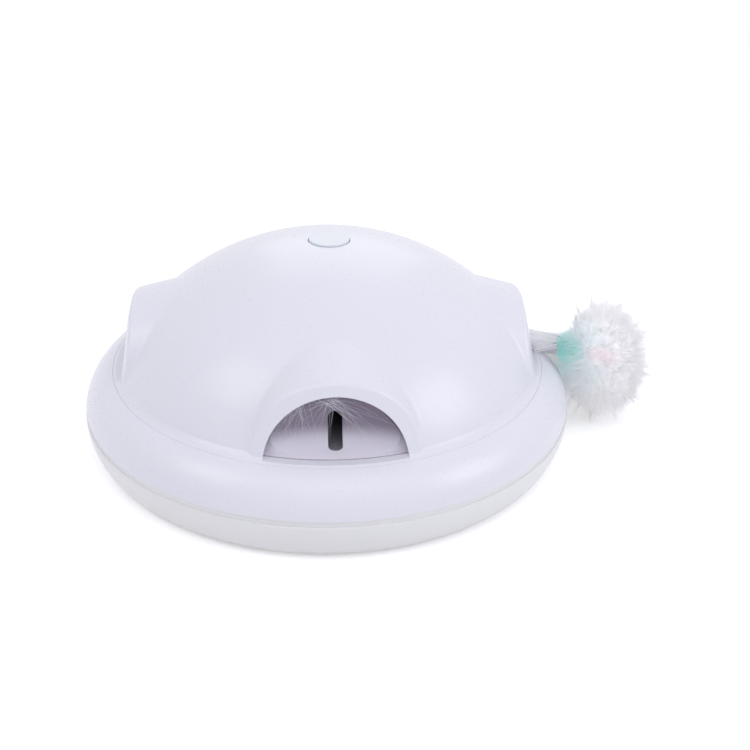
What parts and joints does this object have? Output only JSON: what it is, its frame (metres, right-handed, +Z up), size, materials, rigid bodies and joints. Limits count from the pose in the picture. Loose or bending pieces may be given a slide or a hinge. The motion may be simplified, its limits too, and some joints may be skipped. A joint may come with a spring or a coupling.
{
  "type": "automatic cat laser toy",
  "caption": "Saucer-shaped automatic cat toy with arched windows, a turning drum behind them, a top button and a fur puff on a flexible wand.",
  "frame": {"origin": "middle of the plane on which the rubber foot ring stands, on the drum's axis", "axes": "+Z up along the drum's axis, -Y out of the front window, +X out of the window with the fur puff"},
  "size_m": [0.2796, 0.24, 0.0979],
  "materials": {
    "shell_white": "satin gloss",
    "pan_white": "satin gloss",
    "drum_white": "matte",
    "button_white": "satin gloss",
    "inner_plastic": "matte",
    "gear_plastic": "matte",
    "component_black": "matte",
    "rod_plastic": "translucent",
    "collar_mint": "matte",
    "fur_white": "long soft fur",
    "fur_grey": "long soft fur",
    "foot_rubber": "matte",
    "screw_steel": "bright",
    "spring_steel": "bright",
    "brass": "satin",
    "cell_jacket": "printed jacket, left plain",
    "board_green": "solder mask",
    "lens_clear": "clear",
    "mirror_glass": "polished"
  },
  "bodies": {
    "housing": {"base_pan": "pan_white", "brim_ring": "shell_white", "dome_cover": "shell_white", "battery_door": "pan_white", "battery_door_screw": "screw_steel", "battery_cells": "cell_jacket", "battery_contacts": "spring_steel", "rubber_foot_ring": "foot_rubber", "case_screws": "screw_steel", "spindle": "inner_plastic", "spindle_screws": "screw_steel", "retaining_clip": "spring_steel", "laser_barrel": "brass", "laser_lens": "lens_clear", "drive_motor": "spring_steel", "motor_gearbox": "brass", "motor_bracket": "inner_plastic", "bracket_screws": "screw_steel", "main_board": "board_green", "board_components": "component_black", "board_screws": "screw_steel", "button_guide": "inner_plastic", "guide_screws": "screw_steel", "switch_board": "board_green", "push_switch": "component_black", "button_spring": "spring_steel"},
    "rotor": {"turntable": "drum_white", "drum": "drum_white", "drum_screws": "screw_steel", "drive_wheel": "gear_plastic", "thrust_washer": "gear_plastic", "hub_bush": "brass", "mirror_block": "component_black", "mirror": "mirror_glass", "wand_pivot_pin": "spring_steel", "pocket_wisp": "fur_white"},
    "wand": {"wand_holder": "gear_plastic", "wand_rod": "rod_plastic", "rod_collar": "collar_mint", "fur_neck": "fur_grey", "fur_puff": "fur_white"},
    "pinion": {"gearbox_shaft": "spring_steel", "drive_pinion": "gear_plastic"},
    "button": {"button_cap": "button_white", "switch_plunger": "component_black"}
  },
  "joints": [
    {"name": "rotor_spin", "type": "hinge", "parent": "housing", "child": "rotor", "pos_m": [0, 0, 0.03], "axis": [0, 0, 1], "continuous": true, "deforming": ["wand_rod", "rod_collar", "fur_neck", "fur_puff", "pocket_wisp"]},
    {"name": "pinion_spin", "type": "hinge", "parent": "housing", "child": "pinion", "pos_m": [-0.02978, -0.02978, 0.03], "axis": [0, 0, 1], "continuous": true},
    {"name": "wand_nod", "type": "hinge", "parent": "rotor", "child": "wand", "pos_m": [0.021, 0, 0.05], "axis": [0, -1, 0], "range_deg": [0, 5]},
    {"name": "button_press", "type": "slide", "parent": "housing", "child": "button", "axis": [0, 0, -1], "range_m": [0, 0.001], "stiffness_N_per_m": 600, "springref_m": -0.001, "deforming": ["button_spring"]}
  ],
  "couplings": [
    {"joint": "pinion_spin", "follows": "rotor_spin", "ratio": -6}
  ]
}
